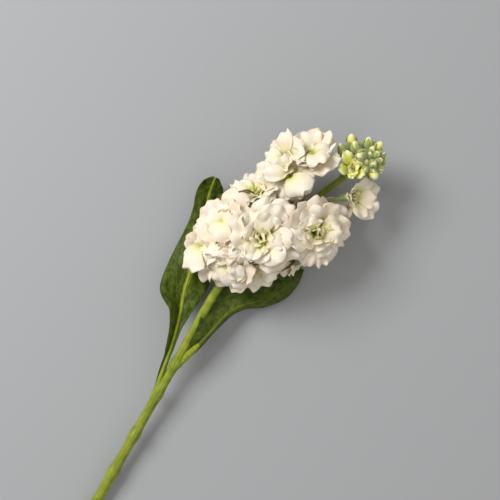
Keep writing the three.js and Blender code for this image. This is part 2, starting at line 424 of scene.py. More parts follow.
class Shader(Nodes):
    """Builds one material's nodes around a Principled BSDF."""

    def __init__(self, name: str) -> None:
        """Starts a material with that name.

        Args:
            name: the material's name.
        """
        self.material = bpy.data.materials.new(name)
        self.material.use_nodes = True
        super().__init__(self.material.node_tree)
        self.surface = self.tree.nodes["Principled BSDF"]

    def trait(self, trait: Trait) -> bpy.types.NodeSocket:
        """The value of a mesh trait."""
        return self.node("ShaderNodeAttribute", attribute_name=trait.value).outputs["Fac"]

    def group(
        self, tree: bpy.types.NodeTree, output: str, **inputs: float | bpy.types.NodeSocket
    ) -> bpy.types.NodeSocket:
        """Places a node group.

        Args:
            tree: the group.
            output: the name of the output wanted.
            inputs: a value or a socket for each named input.

        Returns:
            The output's socket.
        """
        made = self.node("ShaderNodeGroup", node_tree=tree)
        for key, value in inputs.items():
            self.feed(made.inputs[key.replace("_", " ")], value)
        return made.outputs[output]

    def blend(
        self,
        share: bpy.types.NodeSocket | float,
        first: bpy.types.NodeSocket | Colour,
        second: bpy.types.NodeSocket | Colour,
    ) -> bpy.types.NodeSocket:
        """Mixes two colours.

        Args:
            share: how much of the second, from 0 to 1.
            first: the colour at 0.
            second: the colour at 1.

        Returns:
            The mixed colour's socket.
        """
        mix = self.node("ShaderNodeMix", data_type="RGBA")
        for target, value in ((mix.inputs[0], share), (mix.inputs[6], first), (mix.inputs[7], second)):
            self.feed(target, value)
        return mix.outputs[2]

    def steps(
        self, value: bpy.types.NodeSocket, stops: list[tuple[float, Colour]]
    ) -> bpy.types.NodeSocket:
        """A colour that changes with a value.

        Args:
            value: from 0 to 1.
            stops: places from 0 to 1 and the colour at each.

        Returns:
            The colour's socket.
        """
        ramp = self.node("ShaderNodeValToRGB")
        bar = ramp.color_ramp.elements
        while len(bar) < len(stops):
            bar.new(0.5)
        for mark, (position, colour) in zip(bar, stops):
            mark.position = position
            mark.color = colour
        self.join(value, ramp.inputs[0])
        return ramp.outputs["Color"]

    def relief(self, height: bpy.types.NodeSocket, strength: float, depth: float) -> None:
        """Feeds the surface's normal from a height.

        Args:
            height: the relief, from 0 to 1.
            strength: how much of it shows.
            depth: how many metres a height of 1 stands out.
        """
        bump = self.node("ShaderNodeBump")
        bump.inputs["Strength"].default_value = strength
        bump.inputs["Distance"].default_value = depth
        self.join(height, bump.inputs["Height"])
        self.join(bump.outputs["Normal"], self.surface.inputs["Normal"])

    def set(self, **values: float | tuple[float, ...]) -> None:
        """Sets uniform values on the surface's own sockets."""
        for key, value in values.items():
            self.surface.inputs[key.replace("_", " ")].default_value = value


class GroupMaker(Nodes):
    """Builds one shader node group with named inputs and outputs."""

    def __init__(self, name: str, inputs: dict[str, float], outputs: list[str]) -> None:
        """Starts the group.

        Args:
            name: the group's name.
            inputs: each input's name and its value when nothing is linked.
            outputs: each output's name.
        """
        super().__init__(bpy.data.node_groups.new(name, "ShaderNodeTree"))
        for key, value in inputs.items():
            socket = self.tree.interface.new_socket(key, in_out="INPUT", socket_type="NodeSocketFloat")
            socket.default_value = value
        for key in outputs:
            self.tree.interface.new_socket(key, in_out="OUTPUT", socket_type="NodeSocketFloat")
        self.source = self.node("NodeGroupInput")
        self.sink = self.node("NodeGroupOutput")

    def given(self, name: str) -> bpy.types.NodeSocket:
        """The socket of one of the group's inputs."""
        return self.source.outputs[name]

    def noise(self, scale: float | bpy.types.NodeSocket, detail: float) -> bpy.types.NodeSocket:
        """Adds a noise over the object.

        Args:
            scale: how many waves it has in a metre.
            detail: how many finer noises are laid over it.

        Returns:
            Its value, from 0 to 1.
        """
        made = self.node("ShaderNodeTexNoise")
        self.feed(made.inputs["Detail"], detail)
        self.feed(made.inputs["Vector"], self.node("ShaderNodeTexCoord").outputs["Object"])
        self.feed(made.inputs["Scale"], scale)
        return made.outputs["Fac"]

    def give(self, name: str, socket: bpy.types.NodeSocket) -> None:
        """Links a socket to one of the group's outputs."""
        self.join(socket, self.sink.inputs[name])


def make_mottle() -> bpy.types.NodeTree:
    """Soft patches over a surface, for every living part.

    Returns:
        A group whose Scale is patches in a metre and Contrast stretches them, and whose
        Patches runs from 0 to 1.
    """
    made = GroupMaker("mottle", {"Scale": 300.0, "Contrast": 2.0}, ["Patches"])
    centred = made.math("SUBTRACT", made.noise(made.given("Scale"), 3.0), 0.5)
    stretched = made.math("MULTIPLY_ADD", centred, made.given("Contrast"), 0.5)
    made.give("Patches", made.math("MINIMUM", made.math("MAXIMUM", stretched, 0.0), 1.0))
    return made.tree


def make_veins() -> bpy.types.NodeTree:
    """Fine veins that fan out from a base, for petals, leaves and sepals.

    Returns:
        A group that takes the mesh's Along and Across, the number of Lines from the middle
        to an edge, their Slant towards the tip and their Width. Mask is 1 on a vein.
    """
    values = {"Along": 0.0, "Across": 0.0, "Lines": 7.0, "Slant": 0.0, "Width": 0.25}
    made = GroupMaker("veins", values, ["Mask"])
    side = made.math("ABSOLUTE", made.given("Across"))
    wander = made.math("MULTIPLY", made.math("SUBTRACT", made.noise(160.0, 2.0), 0.5), 0.35)
    slanted = made.math("MULTIPLY", made.given("Along"), made.given("Slant"))
    phase = made.math("ADD", made.math("SUBTRACT", side, slanted), made.math("MULTIPLY", wander, 0.4))
    saw = made.math("FRACT", made.math("MULTIPLY", phase, made.given("Lines")))
    from_line = made.math("ABSOLUTE", made.math("SUBTRACT", saw, 0.5))
    sharp = made.math("DIVIDE", from_line, made.given("Width"))
    made.give("Mask", made.math("MAXIMUM", made.math("SUBTRACT", 1.0, sharp), 0.0))
    return made.tree


@dataclass(frozen=True)
class PetalFinish:
    """A crepe-like cream petal, yellow-green at its claw, with painted shade in patches and along its
    edges.
    """

    name: str = "cream_petal"
    throat: Colour = paint(126, 152, 10)
    claw: Colour = paint(208, 218, 70)
    cream: Colour = paint(252, 243, 196)
    blade: Colour = paint(255, 247, 228)
    # The next colour is a painted shade: a pinkish beige laid over the petals in random patches. The veins
    # are tinted with it too.
    shade_beige: Colour = paint(240, 214, 186)
    # The next colour is a painted shade: a tan line along each petal's edges and tip, standing in for the
    # thin shadow where petals overlap. The strength after it sets how much shows.
    rim: Colour = paint(216, 192, 158)
    edge_shade_strength: float = 0.55
    youth_shift: float = -0.4  # how far a young petal's colours move towards its claw's

    def material(self, mottle: bpy.types.NodeTree, veins: bpy.types.NodeTree) -> bpy.types.Material:
        """The material.

        Args:
            mottle: the mottle group.
            veins: the veins group.

        Returns:
            The new material.
        """
        shader = Shader(self.name)
        along = shader.trait(Trait.ALONG)
        aged = shader.math("MULTIPLY_ADD", shader.trait(Trait.GREEN), self.youth_shift, along)
        stops = [(0.1, self.throat), (0.28, self.claw), (0.44, self.cream), (0.74, self.blade)]
        colour = shader.steps(aged, stops)
        # Painted shade: the pinkish beige is mixed in over random patches, more strongly on petals with a
        # higher tone.
        patches = shader.group(mottle, "Patches", Scale=140.0, Contrast=2.4)
        shade_patches = shader.math("MULTIPLY", patches, shader.trait(Trait.TONE))
        patch_shaded = shader.blend(shade_patches, colour, self.shade_beige)
        lines = shader.group(
            veins, "Mask", Along=along, Across=shader.trait(Trait.ACROSS), Lines=9.0, Width=0.3
        )
        veined = shader.blend(shader.math("MULTIPLY", lines, 0.14), patch_shaded, self.shade_beige)
        # Painted shade: a tan line on the outermost edge and tip of each petal, for the shadow under
        # overlapping edges.
        edge = shader.math("MAXIMUM", shader.math("ABSOLUTE", shader.trait(Trait.ACROSS)), along)
        edge_shade_mask = shader.math("MAXIMUM", shader.math("MULTIPLY_ADD", edge, 12.0, -11.0), 0.0)
        edge_shaded = shader.blend(shader.math("MULTIPLY", edge_shade_mask, self.edge_shade_strength), veined, self.rim)
        shader.join(edge_shaded, shader.surface.inputs["Base Color"])
        crepe = shader.group(mottle, "Patches", Scale=700.0, Contrast=1.6)
        shader.relief(shader.math("MULTIPLY_ADD", lines, 0.6, crepe), 0.5, 0.0003)
        shader.set(
            Roughness=0.62,
            Subsurface_Weight=0.15,
            Subsurface_Radius=(1.0, 0.75, 0.4),
            Subsurface_Scale=0.0006,
            Specular_IOR_Level=0.22,
            Sheen_Weight=0.1,
        )
        return shader.material


@dataclass(frozen=True)
class LeafFinish:
    """A dark green, blistered leaf with a pale midrib."""

    name: str = "dark_leaf"
    deep: Colour = paint(48, 64, 2)
    bright: Colour = paint(104, 122, 20)
    vein: Colour = paint(118, 132, 36)
    midrib: Colour = paint(146, 158, 30)
    underside: Colour = paint(112, 134, 74)
    midrib_share: float = 0.06

    def material(self, mottle: bpy.types.NodeTree, veins: bpy.types.NodeTree) -> bpy.types.Material:
        """The material.

        Args:
            mottle: the mottle group.
            veins: the veins group.

        Returns:
            The new material.
        """
        shader = Shader(self.name)
        across = shader.trait(Trait.ACROSS)
        blisters = shader.group(mottle, "Patches", Scale=340.0, Contrast=2.2)
        patches = shader.group(mottle, "Patches", Scale=110.0, Contrast=2.0)
        both = shader.math("MULTIPLY", blisters, shader.math("MULTIPLY_ADD", patches, 0.7, 0.3))
        blade = shader.blend(both, self.deep, self.bright)
        under = shader.blend(0.7, blade, self.underside)
        sided = shader.blend(shader.trait(Trait.UNDER), blade, under)
        lines = shader.group(
            veins, "Mask", Along=shader.trait(Trait.ALONG), Across=across, Lines=3.4, Slant=2.6, Width=0.06
        )
        veined = shader.blend(shader.math("MULTIPLY", lines, 0.28), sided, self.vein)
        from_rib = shader.math("ABSOLUTE", across)
        nearness = shader.math("SUBTRACT", 2 * self.midrib_share, from_rib)
        on_rib = shader.math("DIVIDE", nearness, self.midrib_share)
        bright_rib = shader.math("MULTIPLY", shader.math("MAXIMUM", on_rib, 0.0), shader.trait(Trait.TONE))
        ribbed = shader.blend(bright_rib, veined, self.midrib)
        shader.join(ribbed, shader.surface.inputs["Base Color"])
        shader.relief(shader.math("MULTIPLY_ADD", lines, -0.4, blisters), 0.75, 0.0008)
        shader.set(Roughness=0.52, Specular_IOR_Level=0.3, Subsurface_Weight=0.08, Subsurface_Scale=0.001)
        return shader.material


@dataclass(frozen=True)
class GreenFinish:
    """A green stalk or sepal with soft streaks along it."""

    name: str
    low: Colour
    high: Colour
    accent: Colour
    roughness: float
    felt: float
    scale: float

    def material(self, mottle: bpy.types.NodeTree, veins: bpy.types.NodeTree) -> bpy.types.Material:
        """The material.

        Args:
            mottle: the mottle group.
            veins: the veins group.

        Returns:
            The new material.
        """
        shader = Shader(self.name)
        patches = shader.group(mottle, "Patches", Scale=self.scale, Contrast=2.6)
        base = shader.blend(patches, self.low, self.high)
        lines = shader.group(
            veins,
            "Mask",
            Along=shader.trait(Trait.ALONG),
            Across=shader.trait(Trait.ACROSS),
            Lines=3.0,
            Width=0.4,
        )
        streaked = shader.blend(shader.math("MULTIPLY", lines, 0.4), base, self.accent)
        shader.join(streaked, shader.surface.inputs["Base Color"])
        shader.relief(shader.group(mottle, "Patches", Scale=self.scale * 4, Contrast=1.5), 0.4, 0.0003)
        shader.set(
            Roughness=self.roughness,
            Sheen_Weight=self.felt,
            Sheen_Roughness=0.5,
            Specular_IOR_Level=0.35,
            Subsurface_Weight=0.1,
            Subsurface_Scale=0.001,
        )
        return shader.material


@dataclass(frozen=True)
class BudFinish:
    """Felted green sepals over yellow-cream petals that are still folded."""

    name: str = "bud"
    petal: Colour = paint(210, 214, 56)
    petal_tip: Colour = paint(242, 238, 120)
    petal_end: Colour = paint(250, 244, 196)
    sepal: Colour = paint(128, 142, 80)
    sepal_tip: Colour = paint(176, 186, 120)

    def material(self, mottle: bpy.types.NodeTree, veins: bpy.types.NodeTree) -> bpy.types.Material:
        """The material.

        Args:
            mottle: the mottle group.
            veins: the veins group.

        Returns:
            The new material.
        """
        shader = Shader(self.name)
        along = shader.trait(Trait.ALONG)
        across = shader.trait(Trait.ACROSS)
        petals = shader.steps(along, [(0.3, self.petal), (0.7, self.petal_tip), (1.0, self.petal_end)])
        sepals = shader.steps(along, [(0.35, self.sepal), (1.0, self.sepal_tip)])
        patches = shader.group(mottle, "Patches", Scale=520.0, Contrast=2.4)
        speckled = shader.blend(patches, sepals, self.sepal_tip)
        edge = shader.math("ABSOLUTE", across)
        margin = shader.math("MAXIMUM", shader.math("MULTIPLY_ADD", edge, 5.0, -4.4), 0.0)
        felted = shader.blend(margin, shader.blend(0.35, sepals, speckled), self.sepal_tip)
        colour = shader.blend(shader.trait(Trait.GREEN), petals, felted)
        lines = shader.group(veins, "Mask", Along=along, Across=across, Lines=2.0, Width=0.35)
        veined = shader.blend(shader.math("MULTIPLY", lines, 0.3), colour, self.sepal_tip)
        shader.join(veined, shader.surface.inputs["Base Color"])
        shader.relief(shader.group(mottle, "Patches", Scale=1600.0, Contrast=1.5), 0.4, 0.0003)
        shader.set(
            Roughness=0.6,
            Sheen_Weight=0.3,
            Sheen_Roughness=0.5,
            Specular_IOR_Level=0.3,
            Subsurface_Weight=0.15,
            Subsurface_Scale=0.001,
        )
        return shader.material


class Finishes:
    """Every material of the plant, each built once."""

    def __init__(self) -> None:
        """Builds the shared groups and the materials."""
        mottle = make_mottle()
        veins = make_veins()
        stem = GreenFinish(
            "green_stem", paint(100, 116, 10), paint(150, 162, 38), paint(168, 178, 62), 0.5, 0.05, 220.0
        )
        calyx = GreenFinish(
            "felted_calyx", paint(122, 142, 74), paint(166, 182, 112), paint(186, 198, 130), 0.7, 0.3, 420.0
        )
        self.petal = PetalFinish().material(mottle, veins)
        self.leaf = LeafFinish().material(mottle, veins)
        self.stem = stem.material(mottle, veins)
        self.calyx = calyx.material(mottle, veins)
        self.bud = BudFinish().material(mottle, veins)


# ---- Petals -------------------------------------------------------------------------


@dataclass
class Petal:
    """One petal: lengths in millimetres and angles in degrees from the flower's axis."""

    length: float
    width: float
    azimuth: float
    base_tilt: float
    tip_tilt: float
    roll: float = 25.0  # how much further the tip turns outwards
    bend: float = -0.4  # radians its edges turn up, or down if negative
    fold: float = 0.0  # how sharply it folds along its middle
    ruffle: float = 0.04  # waves of its rim, as a share of its length
    crumple: float = 0.07  # dents all over, as a share of its length
    notch: float = 0.05
    twist: float = 8.0
    shoulder: float = 0.24
    lift: float = 0.0
    offset: float = 1.0
    tone: float = 0.5
    youth: float = 0.0
    claw: float = 0.16
    rows: int = 20
    columns: int = 17

    def sheet(self, rng: np.random.Generator) -> Sheet:
        """The petal's middle surface around the flower's axis, which is +Z.

        Args:
            rng: where its small differences come from.

        Returns:
            A sheet with the claw first.
        """
        s = np.linspace(0, 1, self.rows)[:, None]
        v = np.linspace(-1, 1, self.columns)[None, :]
        lean = rng.uniform(-0.12, 0.12)
        edge = 1 - self.shoulder * np.abs(v + lean) ** 3.0 - self.notch * np.exp(-(((v + lean) / 0.2) ** 2))
        edge = edge + 0.025 * np.sin(v * rng.uniform(5, 8) + rng.uniform(0, 6))
        t = s * edge
        fine = np.linspace(0, 1.05, 120)
        tilt = self.base_tilt + (self.tip_tilt - self.base_tilt) * ease(0.0, 0.7, fine)
        tilt = np.radians(tilt + self.roll * ease(0.62, 1.0, fine))
        step = self.length * (fine[1] - fine[0])
        out = np.cumsum(np.sin(tilt)) * step
        rise = np.cumsum(np.cos(tilt)) * step
        out_at, rise_at, tilt_at = (np.interp(t, fine, line) for line in (out, rise, tilt))
        spread = self.claw + (1 - self.claw) * ease(0.08, 0.66, t)
        half = self.width / 2 * spread * (1 - 0.1 * ease(0.8, 1.0, t))
        bend = 0.9 * (1 - ease(0.15, 0.6, t)) + self.bend * ease(0.3, 0.8, t)
        bend = np.where(np.abs(bend) < 0.02, 0.02, bend)
        aside = half * np.sin(v * bend) / bend
        raised = half * (1 - np.cos(v * bend)) / bend + self.fold * np.abs(aside)
        waves = np.abs(v) ** 1.5 * np.sin(rng.uniform(5.0, 9.0) * t * 1.6 + np.sign(v) * rng.uniform(0, 6))
        waves = waves + 0.8 * np.sin(v * rng.uniform(3.6, 7.5) + rng.uniform(0, 6)) * t
        crumple = np.zeros_like(t)
        for _ in range(4):
            turn, phase = rng.uniform(-4.5, 4.5, 2), rng.uniform(0, 6)
            crumple = crumple + np.sin(turn[0] * v + 1.6 * turn[1] * t + phase) / 4
        raised = raised + self.length * (self.ruffle * t**2.2 * waves + self.crumple * crumple * t)
        turn = math.radians(self.twist) * t
        aside, raised = (
            aside * np.cos(turn) - raised * np.sin(turn),
            aside * np.sin(turn) + raised * np.cos(turn),
        )
        x = self.offset + out_at - raised * np.cos(tilt_at)
        z = self.lift + rise_at + raised * np.sin(tilt_at)
        azimuth = math.radians(self.azimuth)
        points = np.stack(
            [
                x * math.cos(azimuth) - aside * math.sin(azimuth),
                x * math.sin(azimuth) + aside * math.cos(azimuth),
                z,
            ],
            axis=-1,
        )
        return Sheet(points, t, np.broadcast_to(v, t.shape).copy(), self.tone, self.youth)


@dataclass(frozen=True)
class Whorl:
    """A ring of petals, with lengths as shares of the floret's spread."""

    count: int
    length: float
    width: float
    base_tilt: float
    tip_tilt: float
    roll: float
    bend: float
    ruffle: float
    fold: float = 0.0
    offset: float = 1.6
    # The tone sets how strong the painted shade patches on its petals are.
    tone: float = 0.5
    youth: float = 0.0  # 1 for the greenest petals


OUTER_WHORLS = (
    Whorl(5, 1.0, 0.98, 52, 86, 26, -0.55, 0.07, tone=0.75),
    Whorl(4, 0.84, 0.8, 42, 70, 30, -0.35, 0.09, tone=0.5),
)
INNER_WHORLS = (
    Whorl(4, 0.72, 0.72, 30, 58, 40, -0.1, 0.12, 0.1, 1.4, 0.4, 0.2),
    Whorl(4, 0.56, 0.56, 18, 44, 40, 0.3, 0.15, 0.2, 1.0, 0.3, 0.5),
    Whorl(3, 0.44, 0.4, 2, 26, 46, 0.7, 0.16, 0.3, 0.4, 0.3, 0.85),
)

SIDEWAYS = np.array([0.643, -0.766, 0.0])  # azimuths are counted from this way across the stem
PETAL_THICKNESS = 0.2


@dataclass
class Floret:
    """One double flower: calyx on its pedicel, outer petals, and a rosette inside them."""

    number: int
    throat: Point
    facing: Point
    spread: float
    leaves_stem_at: float
    turn: float = 0.0
    rosette: float = 1.0  # the inner petals' size, as a share of the usual
    roll: float = 1.0  # how far the tips turn out, as a share of the usual; in if negative
    outer: tuple[tuple[float, float, float, float, float], ...] = ()  # azimuth, length, width, tilt, bend
    cover: tuple[tuple[float, float, float, float], ...] = ()  # azimuth, length, width, offset
    filled: bool = True  # whether a second whorl stands inside the outermost
    youth: float = 0.0  # how much greener its petals are than usual
    calyx_length: float = 9.0
    calyx_radius: float = 2.5
    pedicel_radius: float = 0.9
    axes: np.ndarray = field(init=False)

    def __post_init__(self) -> None:
        """Works out the flower's own axes."""
        up = unit(np.array(self.facing, float))
        sideways = unit(SIDEWAYS - up * float(SIDEWAYS @ up))
        self.axes = np.stack([sideways, np.cross(up, sideways), up])

    @property
    def name(self) -> str:
        """The name that its CAD nodes start with."""
        return f"floret_{self.number:02d}"

    def set_in(self, sheet: Sheet) -> Sheet:
        """The sheet moved from the flower's axes to the plant."""
        sheet.points = sheet.points @ self.axes + np.array(self.throat)
        return sheet

    def ring(
        self, whorl: Whorl, turn: float, rng: np.random.Generator, share: float = 1.0
    ) -> list[Petal]:
        """The petals of one whorl.

        Args:
            whorl: its sizes.
            turn: the azimuth of its first petal.
            rng: where small differences come from.
            share: a factor on its petals' sizes.

        Returns:
            The petals in order around the axis.
        """
        petals = []
        for k in range(whorl.count):
            length = whorl.length * self.spread * share * rng.uniform(0.82, 1.18)
            petals.append(
                Petal(
                    length=length,
                    width=whorl.width * self.spread * share * rng.uniform(0.85, 1.15),
                    azimuth=turn + 360 / whorl.count * k + rng.uniform(-26, 26),
                    base_tilt=whorl.base_tilt,
                    tip_tilt=whorl.tip_tilt + rng.uniform(-22, 18),
                    roll=whorl.roll * self.roll * rng.uniform(0.3, 1.5),
                    bend=whorl.bend + rng.uniform(-0.4, 0.5),
                    fold=whorl.fold,
                    ruffle=whorl.ruffle * rng.uniform(0.7, 1.3),
                    notch=rng.uniform(0.0, 0.09),
                    twist=rng.uniform(4, 16),
                    lift=-2.2,
                    offset=whorl.offset,
                    tone=whorl.tone * rng.uniform(0.3, 1.3),
                    youth=whorl.youth + self.youth,
                )
            )
        return petals

    def outer_petals(self) -> Clay:
        """The two outer whorls, with the stated petals in place of the outermost.

        Returns:
            A clay with every outer petal.
        """
        rng = np.random.default_rng(100 + self.number)
        clay = Clay()
        first, second = OUTER_WHORLS
        ring = self.ring(first, self.turn, rng)
        if self.outer:
            ring = []
            for azimuth, length, width, tilt, bend in self.outer:
                petal = Petal(
                    length=length,
                    width=width,
                    azimuth=azimuth,
                    base_tilt=0.6 * tilt,
                    tip_tilt=tilt,
                    roll=first.roll * self.roll * rng.uniform(0.5, 1.3),
                    bend=bend,
                    ruffle=first.ruffle * rng.uniform(0.8, 1.4),
                    notch=rng.uniform(0.0, 0.08),
                    twist=rng.uniform(4, 12),
                    lift=-2.2,
                    offset=first.offset,
                    tone=first.tone * rng.uniform(0.3, 1.2),
                )
                ring.append(petal)
        if self.filled:
            ring += self.ring(second, self.turn + 36, rng)
        for petal in ring:
            clay.shell(self.set_in(petal.sheet(rng)), PETAL_THICKNESS)
        return clay

    def inner_petals(self) -> Clay:
        """The rosette of smaller, folded petals.

        Returns:
            A clay with every inner petal.
        """
        rng = np.random.default_rng(200 + self.number)
        clay = Clay()
        for k, whorl in enumerate(INNER_WHORLS):
            for petal in self.ring(whorl, self.turn + 50 + 33 * k, rng, self.rosette):
                clay.shell(self.set_in(petal.sheet(rng)), PETAL_THICKNESS)
        for azimuth, length, width, offset in self.cover:
            petal = Petal(
                length=length,
                width=width,
                azimuth=azimuth,
                base_tilt=18,
                tip_tilt=86,
                roll=rng.uniform(20, 45),
                bend=rng.uniform(-0.7, -0.25),
                fold=rng.uniform(-0.16, 0.02),
                ruffle=0.08,
                crumple=0.11,
                notch=rng.uniform(0.0, 0.1),
                offset=offset,
                tone=rng.uniform(0.1, 0.6),
                youth=-0.12,
            )
            clay.shell(self.set_in(petal.sheet(rng)), PETAL_THICKNESS)
        return clay

    def calyx(self) -> Clay:
        """The pedicel and four narrow sepals around the claws.

        Returns:
            A clay with the stalk and its sepals.
        """
        rng = np.random.default_rng(300 + self.number)
        clay = Clay()
        facing = self.axes[2]
        top = np.array(self.throat) - facing
        path = stalk_path(self.leaves_stem_at, facing, top, self.calyx_length)
        length = np.linalg.norm(np.diff(path, axis=0), axis=1).sum()
        shares = np.linspace(0.04, 1.0, 34)
        up = np.clip((shares - 1) * length / self.calyx_length + 1, 0, 1)
        belly = self.calyx_radius * (0.66 + 0.24 * np.sin(math.pi * up)) * ease(0.0, 0.15, up)
        angle = np.arange(16) * 2 * math.pi / 16
        ribs = 1 + 0.1 * np.outer(up > 0, np.cos(4 * angle))
        clay.tube(evenly(path, shares), np.maximum(self.pedicel_radius, belly), 16, ribs)
        for k in range(4):
            sepal = Petal(
                length=self.calyx_length * 0.62,
                width=4.2,
                azimuth=self.turn + 45 + 90 * k,
                base_tilt=4,
                tip_tilt=10,
                roll=rng.uniform(10, 35),
                bend=0.9,
                ruffle=0.02,
                notch=-0.12,
                twist=0,
                shoulder=0.55,
                lift=-self.calyx_length * 0.62,
                offset=self.calyx_radius * 0.86,
                claw=0.7,
                rows=12,
                columns=9,
            )
            sheet = self.set_in(sepal.sheet(rng))
            sheet.green = 1.0
            clay.shell(sheet, 0.4)
        return clay

    def build(self, plant: Plant, finishes: Finishes) -> None:
        """Makes the floret's three pieces.

        Args:
            plant: turns plant millimetres into row metres.
            finishes: the plant's materials.
        """
        outer = self.outer_petals().fire(f"{self.name}_outer", plant, finishes.petal)
        place(outer, "petal", f"{self.name}_outer_petals")
        inner = self.inner_petals().fire(f"{self.name}_inner", plant, finishes.petal)
        place(inner, "heart", f"{self.name}_inner_petals")
        calyx = self.calyx().fire(f"{self.name}_cup", plant, finishes.calyx)
        place(calyx, "calyx", f"{self.name}_calyx")


